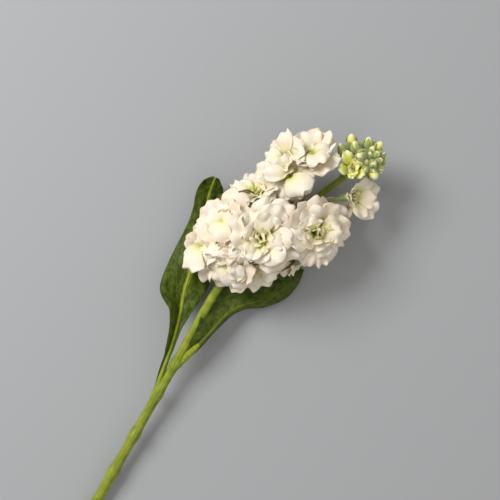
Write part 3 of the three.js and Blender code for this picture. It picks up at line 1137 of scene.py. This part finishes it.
FLORETS = (
    Floret(
        1, (228, 33.5, 36), (0.07, 0, 1), 17, 0.715,
        youth=0.1, turn=20,
        cover=(
            (85, 15, 13, 1),
            (-20, 13, 10, 1),
        ),
        outer=(
            (78, 20, 16, 84, -0.4),
            (133, 15, 12, 70, -0.5),
            (-122, 13, 8, 74, 0.6),
            (-143, 14, 7, 80, 0.5),
            (-165, 13, 8, 78, 0.3),
            (-84, 12.5, 7.5, 70, 0.9),
            (-48, 16, 12, 82, -0.3),
            (-4, 16, 12, 66, -0.2),
            (-22, 20, 15, 92, -0.5),
            (35, 18, 14, 90, -0.3),
            (-66, 18, 14, 92, -0.5),
            (-155, 17, 12, 94, -0.3),
            (112, 17, 14, 90, -0.5),
            (48, 22, 16, 80, -0.4),
            (62, 19, 15, 66, -0.5),
        ),
    ),
    Floret(
        2, (247.8, 15.8, 32), (0.05, -0.36, 0.93), 17, 0.79,
        youth=0.12, turn=64,
        cover=(
            (120, 12, 10, 0),
            (20, 13, 11, 2),
        ),
        outer=(
            (85, 17.5, 14, 80, -0.6),
            (120, 14, 11, 70, 0.4),
            (174, 12, 10, 62, 0.6),
            (45, 16.5, 15, 76, -0.5),
            (2, 18, 15, 82, -0.5),
            (-40, 16, 14, 84, -0.5),
            (-82, 18, 9.5, 88, -0.4),
            (-106, 18, 9.5, 90, -0.4),
            (-146, 18, 15, 86, -0.5),
            (-172, 19, 15, 94, -0.5),
            (-62, 18, 13, 92, -0.5),
            (24, 19, 15, 94, -0.4),
            (135, 18, 15, 76, -0.4),
            (160, 18, 14, 84, -0.3),
        ),
    ),
    Floret(
        3, (221.5, 50.5, 30), (-0.25, 0.42, 0.87), 15, 0.7,
        turn=30, roll=-0.4,
        cover=(
            (-100, 17, 15, -4),
            (15, 15, 13, -1),
            (65, 14, 12, 0),
            (125, 14, 13, -1),
        ),
        outer=(
            (132, 15, 14, 76, -0.9),
            (88, 14, 14, 66, -0.8),
            (38, 15, 16, 62, -0.9),
            (62, 19, 16, 84, -0.4),
            (-12, 15, 14, 64, -0.8),
            (-62, 15, 15, 72, -0.8),
            (-112, 17, 17, 70, -1.0),
            (-150, 14, 13, 60, -0.9),
            (-168, 16, 15, 80, -0.8),
            (10, 17, 14, 86, -0.5),
            (-86, 19, 16, 88, -0.6),
        ),
    ),
    Floret(
        4, (207.5, 52.5, 21.5), (-0.4, 0.5, 0.77), 14.5, 0.66,
        turn=80, rosette=0.9,
        cover=(
            (-115, 18, 17, -1),
            (-60, 15, 14, -1),
        ),
        outer=(
            (92, 11, 10, 62, -0.3),
            (45, 12, 10, 78, -0.4),
            (160, 11, 10, 44, 0.5),
            (-102, 14, 17, 62, -0.9),
            (-92, 18, 14, 96, -0.6),
            (-150, 14, 12, 86, -0.6),
            (-30, 12, 11, 80, -0.5),
        ),
    ),
    Floret(
        5, (209.5, 38, 27), (-0.66, 0, 0.75), 14.5, 0.65,
        turn=10, roll=-0.5,
        cover=(
            (-150, 16, 14, -2),
            (-100, 17, 15, -2),
            (100, 15, 13, -2),
            (-30, 15, 13, -1),
        ),
        outer=(
            (152, 13, 13, 80, -1.0),
            (92, 13, 13, 70, -0.9),
            (-168, 13, 14, 84, -1.0),
            (-120, 15, 15, 82, -0.9),
            (-70, 16, 14, 80, -0.8),
            (-20, 15, 14, 72, -0.7),
            (30, 15, 14, 70, -0.8),
            (-140, 12, 12, 60, -0.9),
            (-40, 12, 12, 58, -0.9),
            (120, 12, 12, 56, -0.9),
        ),
    ),
    Floret(
        6, (215, 27, 28.5), (-0.34, -0.46, 0.82), 14, 0.67,
        turn=45, rosette=0.75,
        outer=(
            (-62, 12, 12, 74, -0.3),
            (-20, 12, 11, 66, 0.4),
            (172, 14, 12, 76, 0.5),
            (150, 15, 12, 84, -0.4),
            (-140, 14, 12, 78, -0.4),
            (-102, 13, 11, 84, -0.3),
            (110, 13, 12, 66, -0.3),
            (60, 12, 11, 66, -0.3),
            (20, 13, 12, 72, -0.4),
        ),
    ),
    Floret(
        7, (260.5, 42, 31), (-0.05, 0.2, 0.98), 13, 0.8,
        youth=0.12, turn=15, rosette=0.7,
        cover=(
            (-52, 16, 16, 0),
            (170, 16, 10, 0),
        ),
        outer=(
            (166, 17, 9, 88, 0.5),
            (-58, 13, 15, 70, -0.5),
            (-8, 12, 10, 78, -0.4),
            (-112, 12, 10, 82, -0.3),
            (58, 11, 10, 70, -0.3),
            (112, 11, 9, 72, -0.3),
        ),
    ),
    Floret(
        8, (265.5, 47.5, 27.5), (0.02, 0.7, 0.71), 13, 0.83,
        youth=0.28, turn=60, rosette=0.85,
        cover=(
            (150, 14, 9, 1),
        ),
        outer=(
            (146, 13, 10, 78, -0.4),
            (108, 14, 9, 64, 0.4),
            (80, 16, 9, 58, 0.5),
            (45, 13, 10, 60, -0.2),
            (-70, 12, 8, 48, 0.8),
            (-130, 12, 9, 70, 0.4),
            (10, 12, 9, 62, 0.3),
        ),
    ),
    Floret(
        9, (274.5, 39.5, 29), (0.5, 0.55, 0.66), 13.5, 0.85,
        youth=0.28, turn=0, rosette=0.9,
        cover=(
            (-70, 16, 13, 0),
            (20, 13, 11, 0),
        ),
        outer=(
            (100, 15, 14, 52, 0.5),
            (66, 16, 14, 58, 0.4),
            (30, 14, 8, 70, 0.3),
            (-18, 14, 12, 86, -0.8),
            (-60, 13, 12, 92, -0.8),
            (150, 12, 9, 50, 0.6),
            (-120, 11, 9, 70, 0.4),
        ),
    ),
    Floret(
        10, (243.5, 49.5, 25), (0.3, 0.76, 0.57), 14, 0.76,
        youth=0.15, turn=25, rosette=0.8,
        cover=(
            (150, 15, 11, 0),
        ),
        outer=(
            (138, 15, 10, 64, -0.5),
            (95, 14, 10, 72, 0.4),
            (62, 15, 9, 78, 0.3),
            (32, 15, 9, 80, -0.3),
            (172, 12, 10, 72, -0.4),
            (-140, 13, 12, 80, -0.3),
            (-104, 14, 13, 86, -0.4),
            (-60, 14, 12, 86, -0.4),
            (-10, 12, 9, 70, 0.3),
        ),
    ),
    Floret(
        11, (272.8, 11.8, 25.5), (0.45, -0.52, 0.73), 13, 0.87,
        turn=40, rosette=0.62, youth=0.2, filled=False, calyx_length=7, calyx_radius=1.9,
        outer=(
            (14, 16, 12, 72, -0.3),
            (-38, 15, 13, 64, -0.4),
            (52, 13, 9, 60, 0.4),
            (-80, 12, 9, 58, 0.3),
            (-8, 12, 10, 50, 0.3),
            (110, 8, 7, 40, 0.4),
            (-150, 8, 7, 36, 0.4),
        ),
    ),
    Floret(12, (232, 13, 17), (-0.16, -0.98, 0.1), 12.8, 0.74, turn=70),
    Floret(13, (214, 46.5, 10.5), (-0.4, 0.7, -0.56), 13, 0.68, turn=5),
    Floret(14, (258, 13, 11), (0, -0.78, -0.62), 14, 0.82, turn=50),
    Floret(15, (249, 43, 10.5), (0.2, 0.66, -0.7), 14, 0.78, turn=35),
)


# ---- Buds ---------------------------------------------------------------------------


@dataclass
class Bud:
    """A closed bud: four sepals over folded petals, on a pedicel."""

    name: str
    at: Point
    facing: Point
    length: float
    width: float
    leaves_stem_at: float
    petals_out: float = 0.1  # how far the petals show past the sepals, as a share of its length
    core_reach: float = 0.98  # how far the folded petals reach, as a share of its length
    pedicel_radius: float = 0.7

    def shape(self, clay: Clay, rng: np.random.Generator) -> None:
        """Adds the bud to a clay.

        Args:
            clay: what it is added to.
            rng: where its small differences come from.
        """
        facing = unit(np.array(self.facing, float))
        base = np.array(self.at) - facing * self.length / 2
        aside = unit(np.cross(facing, [0.3, 0.2, 0.9]))
        across = np.cross(facing, aside)
        axes = np.stack([aside, across, facing])
        up = np.linspace(0, 1, 13)
        core = base + np.outer(up * self.length * self.core_reach, facing)
        swell = np.sin(math.pi * (0.1 + 0.82 * up)) ** 0.7
        angle = np.arange(12) * 2 * math.pi / 12
        ribs = 1 + 0.1 * np.cos(3 * angle[None] + 4 * up[:, None]) * ease(0.5, 1, up)[:, None]
        clay.tube(core, self.width * 0.43 * swell, 12, ribs, rng.uniform(0.2, 0.8), 0.0)
        turn = rng.uniform(0, 90)
        for k in range(4):
            s = np.linspace(0, 1, 11)[:, None]
            v = np.linspace(-1, 1, 9)[None, :]
            reach = (1 - self.petals_out) * (1 - 0.34 * np.abs(v) ** 1.8) * rng.uniform(0.94, 1.04)
            t = s * reach
            closing = 0.8 if self.petals_out > 0.1 else 0.9
            radius = self.width / 2 * np.sin(math.pi * (0.06 + closing * t)) ** 0.7 * (1 + 0.06 * (k % 2))
            radius = radius + 0.12 * ease(0.75, 1.0, s) * self.petals_out * self.width
            round_at = math.radians(turn + 90 * k) + v * math.radians(54) * (1 - 0.22 * s)
            keel = 1 + 0.09 * (1 - np.abs(v)) ** 2
            local = np.stack(
                [
                    radius * keel * np.cos(round_at),
                    radius * keel * np.sin(round_at),
                    t * self.length * np.ones_like(v),
                ],
                axis=-1,
            )
            sheet = Sheet(local @ axes + base, t, np.broadcast_to(v, t.shape).copy(), 0.5, 1.0)
            clay.shell(sheet, 0.35)

    def stalk(self, clay: Clay) -> None:
        """Adds the pedicel to a clay.

        Args:
            clay: what it is added to.
        """
        facing = unit(np.array(self.facing, float))
        base = np.array(self.at) - facing * self.length * 0.42
        path = stalk_path(self.leaves_stem_at, facing, base, self.length * 0.3)
        clay.tube(evenly(path, np.linspace(0.04, 1, 14)), np.full(14, self.pedicel_radius), 10)

    def build(self, plant: Plant, finishes: Finishes) -> None:
        """Makes the bud's piece.

        Args:
            plant: turns plant millimetres into row metres.
            finishes: the plant's materials.
        """
        rng = np.random.default_rng(int(sum(self.at) * 10))
        clay = Clay()
        self.shape(clay, rng)
        self.stalk(clay)
        place(clay.fire(f"{self.name}_green", plant, finishes.bud), "bud", self.name)


OPENING_WHORLS = (
    Whorl(5, 1.0, 0.6, 14, 40, 45, 0.4, 0.1, offset=1.8),
    Whorl(4, 0.7, 0.5, 4, 16, 40, 0.6, 0.12, 0.35, offset=1.0),
    Whorl(3, 0.56, 0.44, -6, 6, 30, 0.9, 0.12, 0.4, offset=0.4),
)


@dataclass
class OpeningBud(Bud):
    """A bud whose outer petals have started to unfold."""

    petals_out: float = 0.42
    core_reach: float = 0.62
    spread: float = 9.0  # how wide its petals open
    depth: float = 1.2  # how far under the bud's middle they start

    def build(self, plant: Plant, finishes: Finishes) -> None:
        """Makes the sepals and pedicel, and the petals that stand out of them.

        Args:
            plant: turns plant millimetres into row metres.
            finishes: the plant's materials.
        """
        rng = np.random.default_rng(7)
        clay = Clay()
        self.shape(clay, rng)
        self.stalk(clay)
        throat = np.array(self.at) - unit(np.array(self.facing)) * self.depth
        flower = Floret(0, tuple(throat), self.facing, self.spread, self.leaves_stem_at)
        for whorl in OPENING_WHORLS:
            for petal in flower.ring(whorl, 20 * whorl.offset, rng):
                petal.lift = 0.0
                clay.shell(flower.set_in(petal.sheet(rng)), PETAL_THICKNESS)
        place(clay.fire(f"{self.name}_green", plant, finishes.bud), "bud", self.name)


@dataclass
class ApexBuds:
    """The knot of smallest buds at the tip."""

    at: Point = (293, 17, 27)
    radius: float = 8.2
    count: int = 24
    length: float = 6.6
    width: float = 4.8

    def build(self, plant: Plant, finishes: Finishes) -> None:
        """Makes the knot as one piece.

        Args:
            plant: turns plant millimetres into row metres.
            finishes: the plant's materials.
        """
        rng = np.random.default_rng(11)
        clay = Clay()
        growth = unit(np.array([0.75, -0.1, 0.65]))
        sideways = unit(np.cross(growth, [0, 1, 0]))
        across = np.cross(growth, sideways)
        centre = np.array(self.at) - growth * 1.5
        for k in range(self.count):
            height = 1 - 1.25 * (k + 0.5) / self.count
            around = k * math.radians(137.5)
            ring = math.sqrt(max(0.0, 1 - height**2))
            way = growth * height + (sideways * math.cos(around) + across * math.sin(around)) * ring
            size = rng.uniform(0.75, 1.15)
            reach = self.radius - self.length * 0.35
            bud = Bud(
                "small_bud",
                tuple(centre + way * reach),
                tuple(way + 0.35 * growth + rng.uniform(-0.35, 0.35, 3)),
                self.length * size,
                self.width * size,
                1.0,
                petals_out=rng.choice([0.02, 0.03, 0.04, 0.16]),
            )
            bud.shape(clay, rng)
        clay.tube(np.array([STEM_AXIS[-1], centre + growth]), np.array([1.6, 1.9]), 10)
        place(clay.fire("apex_green", plant, finishes.bud), "bud", "apex_buds")


BUDS = (
    OpeningBud("opening_bud", (282.5, 21, 29), (0.04, 0.1, 0.99), 11, 8.5, 0.92),
    Bud("bud_01", (293, 29.5, 26), (0.63, 0.64, 0.45), 9.5, 5.6, 0.945, 0.24),
    Bud("bud_02", (287, 29.5, 24), (0.34, 0.88, 0.32), 10.5, 5.2, 0.925, 0.04),
    Bud("bud_03", (290.5, 22, 33), (-0.36, 0.24, 0.9), 8.5, 5.6, 0.96, 0.05),
    Bud("bud_04", (292, 26, 30), (0.28, 0.75, 0.6), 8.5, 5.4, 0.95, 0.04),
    Bud("bud_05", (297, 23, 28), (0.78, 0.41, 0.48), 8.5, 5.2, 0.985, 0.06),
    Bud("bud_06", (298.5, 18.5, 27), (0.94, -0.08, 0.33), 9, 5.4, 0.975, 0.26),
    Bud("bud_07", (288, 12, 28), (-0.28, -0.63, 0.72), 9, 6, 0.97, 0.34),
    Bud("bud_08", (289, 18.5, 15), (0.6, 0, -0.8), 8.5, 5.4, 0.955, 0.1),
)


# ---- Stem and leaves ----------------------------------------------------------------


@dataclass
class Stem:
    """The main stem, tapered, with faint ridges and swollen nodes."""

    cut_radius: float = 2.8
    tip_radius: float = 1.5
    nodes: tuple[float, ...] = (0.09, 0.21, 0.3, 0.375, 0.455, 0.52)
    node_swell: float = 0.55
    node_length: float = 3.5
    scar_height: float = 0.9
    rings: int = 260
    sides: int = 32

    def build(self, plant: Plant, finishes: Finishes) -> None:
        """Makes the stem's piece.

        Args:
            plant: turns plant millimetres into row metres.
            finishes: the plant's materials.
        """
        clay = Clay()
        shares = np.linspace(0, 1, self.rings)
        path = evenly(STEM_PATH, shares)
        length = np.linalg.norm(np.diff(STEM_PATH, axis=0), axis=1).sum()
        radius = self.cut_radius + (self.tip_radius - self.cut_radius) * shares**1.6
        angle = np.arange(self.sides) * 2 * math.pi / self.sides
        drift = 2.4 * shares[:, None]
        ribs = 1 + 0.028 * np.cos(5 * angle[None] + drift) + 0.02 * np.cos(3 * angle[None] - drift + 1)
        for k, node in enumerate(self.nodes):
            from_node = (shares - node) * length / self.node_length
            radius = radius + self.node_swell * np.exp(-(from_node**2))
            facing = 0.5 + 2.4 * k
            scar = np.exp(-((from_node[:, None] * 1.9) ** 2)) * np.exp(
                -((np.angle(np.exp(1j * (angle[None] - facing))) / 0.6) ** 2)
            )
            ribs = ribs + self.scar_height / self.cut_radius * scar
        clay.tube(path, radius, self.sides, ribs)
        place(clay.fire("main_stem", plant, finishes.stem), "stem", "stem")


@dataclass
class Leaf:
    """A blistered blade with a strong midrib.

    Each station is a midrib point, the blade's width to its left and right, and how
    steeply each half rises, in degrees.
    """

    node: str
    stations: tuple[tuple[float, ...], ...]
    seed: int
    rib_brightness: float = 1.0
    petiole: float = 0.0  # the share of the midrib that is as bright as a stalk
    thickness: float = 0.55
    rib_width: float = 2.3
    blister: float = 0.42
    wave: float = 0.7
    rows: int = 110
    columns: int = 49

    def _surface(self) -> Sheet:
        """The blade's middle surface.

        Returns:
            A sheet with the base first.
        """
        rng = np.random.default_rng(self.seed)
        table = np.array(self.stations)
        stretches = len(table) - 1
        places = np.linspace(0, stretches, self.rows)
        midrib = smooth_path(table[:, :3], 40)
        at = places / stretches * (len(midrib) - 1)
        spine = np.stack([np.interp(at, np.arange(len(midrib)), midrib[:, k]) for k in range(3)], -1)
        widths = smooth_path(table[:, 3:6], 40)
        rises = smooth_path(np.column_stack([table[:, 5:7], table[:, 0] * 0]), 40)
        left, right = (np.interp(at, np.arange(len(widths)), widths[:, k]) for k in range(2))
        rise_left, rise_right = (np.interp(at, np.arange(len(rises)), rises[:, k]) for k in range(2))
        tangent = unit(np.gradient(spine, axis=0))
        sideways = unit(np.stack([-tangent[:, 1], tangent[:, 0], 0 * tangent[:, 0]], -1))
        v = np.linspace(-1, 1, self.columns)[None, :]
        is_left = v > 0
        width = np.where(is_left, left[:, None], right[:, None])
        rise = np.radians(np.where(is_left, rise_left[:, None], rise_right[:, None]))
        away = np.abs(v) * width
        slope = rise * ease(0.0, 0.5, np.abs(v)) * 1.15
        flat = away * np.cos(slope)
        high = away * np.sin(slope)
        t = np.linspace(0, 1, self.rows)[:, None]
        travelled = np.linalg.norm(np.diff(spine, axis=0), axis=1).sum() * t
        puff = np.zeros((self.rows, self.columns))
        for _ in range(14):
            turn, wavelength = rng.uniform(0, 2 * math.pi), rng.uniform(4, 11)
            phase = np.sign(v) * away * math.cos(turn) + travelled * math.sin(turn)
            puff = puff + np.sin(2 * math.pi * phase / wavelength + rng.uniform(0, 6)) / 4
        body = ease(0.0, 0.2, np.abs(v)) * ease(0.0, 0.15, t)
        high = high + body * self.blister * puff
        wave = np.sin(t * 24 + np.sign(v) * 1.3 + rng.uniform(0, 6)) * np.abs(v) ** 3
        high = high + self.wave * wave * ease(0.1, 0.4, t)
        points = spine[:, None] + sideways[:, None] * (np.sign(v) * flat)[..., None]
        points[..., 2] += high
        grids = (np.broadcast_to(line, flat.shape).copy() for line in (t, v))
        return Sheet(points, *grids, self.rib_brightness)

    def build(self, plant: Plant, finishes: Finishes) -> None:
        """Makes the blade with its midrib.

        Args:
            plant: turns plant millimetres into row metres.
            finishes: the plant's materials.
        """
        clay = Clay()
        sheet = self._surface()
        clay.shell(sheet, self.thickness)
        middle = self.columns // 2
        spine = sheet.points[:, middle]
        taper = 1 - 0.85 * np.linspace(0, 1, self.rows) ** 0.6
        clay.tube(spine, self.rib_width / 2 * taper + 0.2, 12, tone=self.rib_brightness, marked=0.0)
        if self.petiole:
            stalk = spine[: int(self.petiole * self.rows)]
            fade = 1 - ease(0.3, 1.0, np.linspace(0, 1, len(stalk)))
            clay.tube(stalk, self.rib_width * (0.16 + 0.66 * fade), 12, tone=1.0, marked=0.0)
        place(clay.fire(f"{self.node}_blade", plant, finishes.leaf), "leaf", self.node)


LEAVES = (
    Leaf(
        "leaf_left",
        (
            (133.5, 24.2, 10.4, 1.2, 1.2, 0, 0),
            (144, 28.4, 11.6, 1.9, 1.7, 20, 20),
            (155, 32.4, 12.6, 3.6, 2, 44, 30),
            (165, 36.6, 13.4, 5.6, 2.8, 46, 28),
            (174, 41, 13.8, 8.2, 5.6, 42, 14),
            (182, 45.6, 12.8, 13, 9.5, 16, -4),
            (191, 49.6, 11, 12.5, 12, 5, -20),
            (203, 55.5, 9, 10, 12, -4, -22),
            (212, 60, 7.6, 7.5, 11, 0, -14),
            (221, 64, 7.2, 7, 9, 10, -4),
            (228.5, 68.4, 8.4, 6.8, 7.8, 18, -8),
            (233.5, 70, 10.2, 5.2, 6.4, 14, -24),
            (237, 71, 11.6, 1.6, 2.4, 0, -30),
        ),
        1,
    ),
    Leaf(
        "leaf_right",
        (
            (153.5, 24.6, 11.4, 1.5, 1.5, 0, 0),
            (161, 23.8, 12.8, 2.2, 2, 20, -20),
            (168, 23, 13.6, 6, 3.4, 24, -50),
            (174.5, 22.6, 13.2, 8, 4.6, 22, -60),
            (181.5, 22.3, 12.2, 10.8, 6, 10, -62),
            (189.5, 21.6, 10.8, 13.5, 7.5, 6, -62),
            (197.3, 18.2, 9.6, 14.5, 7, 2, -58),
            (205, 13, 8, 14, 6.5, 0, -38),
            (214, 10.5, 6.6, 12, 7.5, 2, -22),
            (222.5, 9.4, 6, 8.5, 6, 4, -12),
            (230, 8.8, 6.4, 2.5, 2.5, 8, 4),
        ),
        2,
        rib_brightness=0.1,
        petiole=0.28,
    ),
)


# ---- Studio -------------------------------------------------------------------------


@dataclass
class Studio:
    """The table, the light and the camera above the flower head."""

    aim: Point = (220, 34, 20)  # what the camera looks at, in plant millimetres
    camera_height: float = 590.0  # above what it looks at
    lens: float = 85.0
    table_size: float = 6.0
    table_colour: Colour = paint(172, 174, 176)
    light_from: Point = (0.03, 0.74, 0.75)
    key_watts: float = 9.4
    fill_watts: float = 1.0
    sky: float = 0.46

    def table(self) -> None:
        """Lays a plain pale table."""
        half = self.table_size / 2
        mesh = bpy.data.meshes.new("table")
        corners = [(-half, -half, 0), (half, -half, 0), (half, half, 0), (-half, half, 0)]
        mesh.from_pydata(corners, [], [(0, 1, 2, 3)])
        shader = Shader("matte_table")
        shader.set(Base_Color=self.table_colour, Roughness=0.9, Specular_IOR_Level=0.1)
        mesh.materials.append(shader.material)
        table = bpy.data.objects.new("table", mesh)
        bpy.context.scene.collection.objects.link(table)

    def softbox(self, name: str, way: Point, distance: float, size: float, watts: float) -> None:
        """Hangs a square soft light that faces the plant.

        Args:
            name: its name.
            way: the direction from the plant to the light.
            distance: how far away it is, in metres.
            size: its side, in metres.
            watts: its power.
        """
        lamp = bpy.data.lights.new(name, "AREA")
        lamp.energy = watts
        lamp.size = size
        holder = bpy.data.objects.new(name, lamp)
        back = Vector(way).normalized()
        holder.location = back * distance
        holder.rotation_euler = back.to_track_quat("Z", "Y").to_euler()
        bpy.context.scene.collection.objects.link(holder)

    def camera(self, plant: Plant) -> None:
        """Hangs the camera straight above, with the stem running up to the right.

        Args:
            plant: turns plant millimetres into row metres.
        """
        lens = bpy.data.cameras.new("camera")
        lens.lens = self.lens
        lens.sensor_width = 36.0
        holder = bpy.data.objects.new("camera", lens)
        up = Vector((-SIDEWAYS[1], SIDEWAYS[0], 0.0))
        turned = Matrix((Vector(SIDEWAYS), up, Vector((0, 0, 1)))).transposed().to_4x4()
        over = np.array(self.aim) + np.array([0, 0, self.camera_height])
        holder.matrix_world = Matrix.Translation(Vector(plant.to_row(over))) @ turned
        bpy.context.scene.collection.objects.link(holder)
        bpy.context.scene.camera = holder

    def build(self, plant: Plant) -> None:
        """Sets the whole studio up.

        Args:
            plant: turns plant millimetres into row metres.
        """
        self.table()
        self.softbox("key_light", self.light_from, 1.1, 0.5, self.key_watts)
        self.softbox("fill_light", (-0.4, -0.8, 0.8), 1.4, 1.0, self.fill_watts)
        world = bpy.data.worlds.new("studio_air")
        world.use_nodes = True
        world.node_tree.nodes["Background"].inputs["Color"].default_value = (1.0, 0.98, 0.95, 1.0)
        world.node_tree.nodes["Background"].inputs["Strength"].default_value = self.sky
        bpy.context.scene.world = world
        bpy.context.scene.view_settings.view_transform = "Standard"
        self.camera(plant)


def main() -> None:
    """Builds the plant and its studio."""
    logging.basicConfig(level=logging.INFO, format="%(name)s: %(message)s")
    plant = Plant()
    finishes = Finishes()
    Stem().build(plant, finishes)
    for part in (*LEAVES, *FLORETS, *BUDS, ApexBuds()):
        part.build(plant, finishes)
    Studio().build(plant)


if __name__ == "__main__":
    main()
